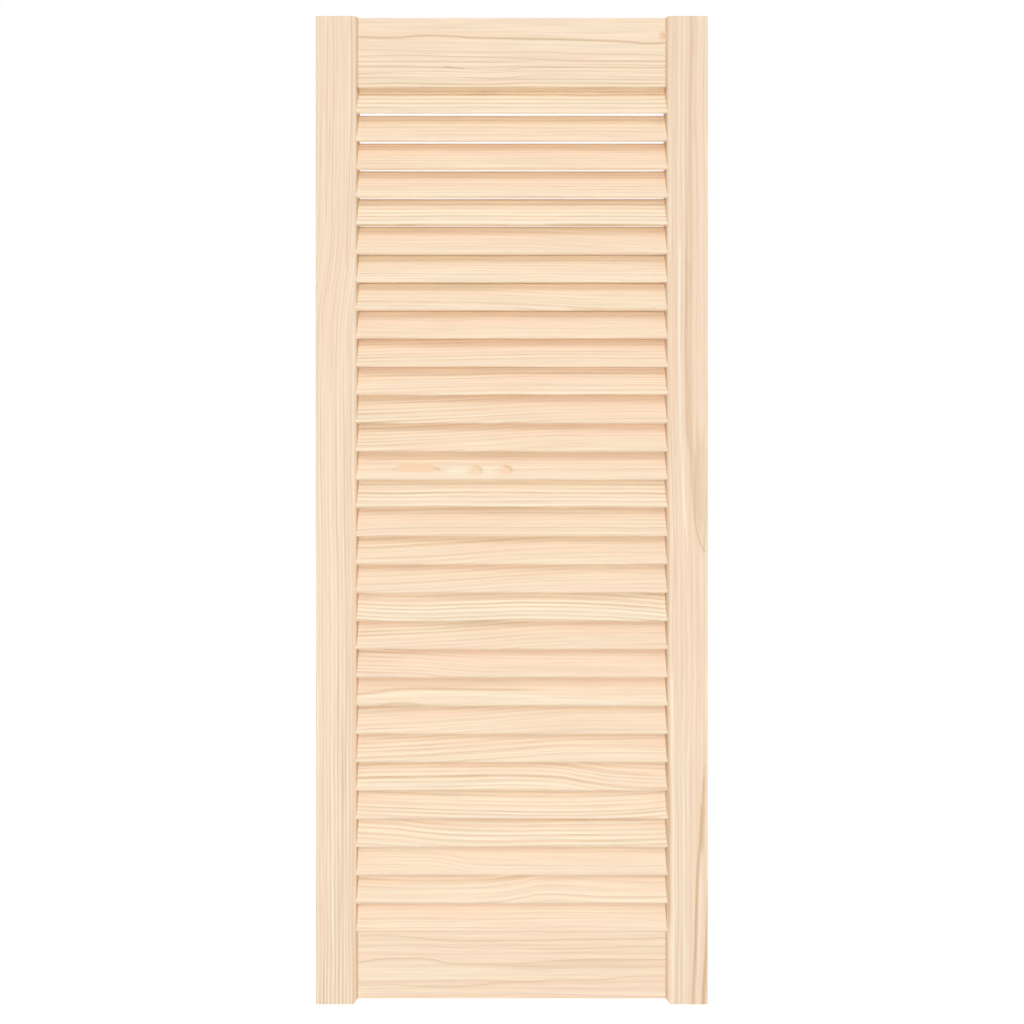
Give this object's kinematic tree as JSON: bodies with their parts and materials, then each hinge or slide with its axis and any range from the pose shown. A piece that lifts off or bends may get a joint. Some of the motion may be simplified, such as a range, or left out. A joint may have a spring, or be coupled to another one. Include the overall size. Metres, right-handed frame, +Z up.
{
  "type": "louvred cabinet door",
  "caption": "Bare pine cabinet door leaf with a full height of fixed sloped slats housed between stiles and set-back rails.",
  "frame": {"origin": "middle of the leaf's width and thickness, level with the lower ends of the stiles", "axes": "+X to the right seen from the front, -Y out of the front face, +Z up along the stiles"},
  "size_m": [0.394, 0.021, 0.993],
  "materials": {
    "pine_stile": "sanded, bare",
    "pine_rail": "sanded, bare",
    "pine_slat": "planed and sanded, bare",
    "beech_dowel": "fluted, bare"
  },
  "bodies": {
    "root": {"stile_left": "pine_stile", "stile_right": "pine_stile", "rail_top": "pine_rail", "rail_bottom": "pine_rail", "slat_01": "pine_slat", "slat_02": "pine_slat", "slat_03": "pine_slat", "slat_04": "pine_slat", "slat_05": "pine_slat", "slat_06": "pine_slat", "slat_07": "pine_slat", "slat_08": "pine_slat", "slat_09": "pine_slat", "slat_10": "pine_slat", "slat_11": "pine_slat", "slat_12": "pine_slat", "slat_13": "pine_slat", "slat_14": "pine_slat", "slat_15": "pine_slat", "slat_16": "pine_slat", "slat_17": "pine_slat", "slat_18": "pine_slat", "slat_19": "pine_slat", "slat_20": "pine_slat", "slat_21": "pine_slat", "slat_22": "pine_slat", "slat_23": "pine_slat", "slat_24": "pine_slat", "slat_25": "pine_slat", "slat_26": "pine_slat", "slat_27": "pine_slat", "slat_28": "pine_slat", "slat_29": "pine_slat", "slat_30": "pine_slat", "dowel_top_left_upper": "beech_dowel", "dowel_top_left_lower": "beech_dowel", "dowel_top_right_upper": "beech_dowel", "dowel_top_right_lower": "beech_dowel", "dowel_bottom_left_upper": "beech_dowel", "dowel_bottom_left_lower": "beech_dowel", "dowel_bottom_right_upper": "beech_dowel", "dowel_bottom_right_lower": "beech_dowel"}
  },
  "joints": []
}
